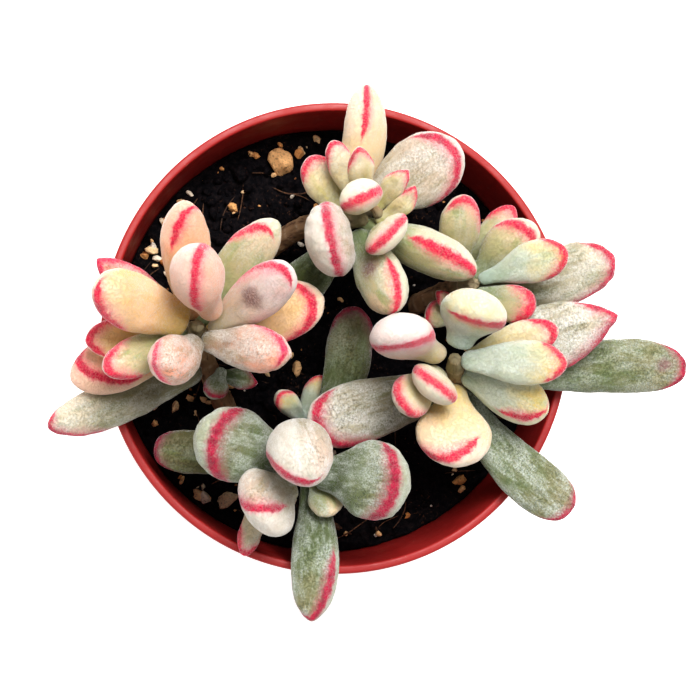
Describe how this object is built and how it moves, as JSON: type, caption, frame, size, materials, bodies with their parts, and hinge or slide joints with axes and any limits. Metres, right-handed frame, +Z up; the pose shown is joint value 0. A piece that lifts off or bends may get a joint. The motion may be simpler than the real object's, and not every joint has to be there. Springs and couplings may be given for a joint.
{
  "type": "potted pig's ear succulent",
  "caption": "Fat-leaved variegated succulent with pink leaf margins, growing as leafy heads on woody stems out of gritty soil in a round moulded plastic pot.",
  "frame": {"origin": "centre of the pot's underside", "axes": "+Z up out of the pot; +X to the right and +Y to the back of the plant as seen from above in the picture"},
  "size_m": [0.1447, 0.1202, 0.1292],
  "materials": {
    "pot": "brick-red moulded polypropylene, satin, slightly dusty",
    "soil": "damp black potting mix of peat and bark with tan grit",
    "stem": "grey-brown corky succulent stem ringed with leaf scars",
    "leaf_cream": "waxy cream-yellow succulent skin with pink margins",
    "leaf_salmon": "waxy salmon-cream succulent skin with pink margins",
    "leaf_green": "grey-green succulent skin mottled with white bloom, red margins",
    "leaf_mint": "pale mint succulent skin under white bloom, pink margins"
  },
  "bodies": {
    "root": {"pot": "pot", "soil": "soil", "left_stem": "stem", "left_leaf_01": "leaf_salmon", "left_leaf_02": "leaf_salmon", "left_leaf_03": "leaf_mint", "left_leaf_04": "leaf_cream", "left_leaf_05": "leaf_cream", "left_leaf_06": "leaf_salmon", "left_leaf_07": "leaf_salmon", "left_leaf_08": "leaf_salmon", "left_leaf_09": "leaf_cream", "left_leaf_10": "leaf_mint", "left_leaf_11": "leaf_salmon", "left_leaf_12": "leaf_mint", "left_leaf_13": "leaf_green", "left_sprout": "leaf_cream", "back_stem": "stem", "back_leaf_01": "leaf_cream", "back_leaf_02": "leaf_cream", "back_leaf_03": "leaf_cream", "back_leaf_04": "leaf_cream", "back_leaf_05": "leaf_green", "back_leaf_06": "leaf_cream", "back_leaf_07": "leaf_cream", "back_leaf_08": "leaf_mint", "back_leaf_09": "leaf_green", "back_sprout": "leaf_cream", "right_stem": "stem", "right_leaf_01": "leaf_cream", "right_leaf_02": "leaf_cream", "right_leaf_03": "leaf_cream", "right_leaf_04": "leaf_cream", "right_leaf_05": "leaf_cream", "right_leaf_06": "leaf_green", "right_sprout": "leaf_cream", "middle_stem": "stem", "middle_leaf_01": "leaf_cream", "middle_leaf_02": "leaf_cream", "middle_leaf_03": "leaf_salmon", "middle_leaf_04": "leaf_cream", "middle_leaf_05": "leaf_mint", "middle_leaf_06": "leaf_cream", "middle_leaf_07": "leaf_green", "middle_leaf_08": "leaf_green", "middle_leaf_09": "leaf_green", "middle_leaf_10": "leaf_green", "middle_sprout": "leaf_cream", "front_stem": "stem", "front_leaf_01": "leaf_mint", "front_leaf_02": "leaf_green", "front_leaf_03": "leaf_mint", "front_leaf_04": "leaf_green", "front_leaf_05": "leaf_green", "front_leaf_06": "leaf_mint", "front_leaf_07": "leaf_green", "front_leaf_08": "leaf_mint", "front_leaf_09": "leaf_green", "front_sprout": "leaf_cream"}
  },
  "joints": []
}
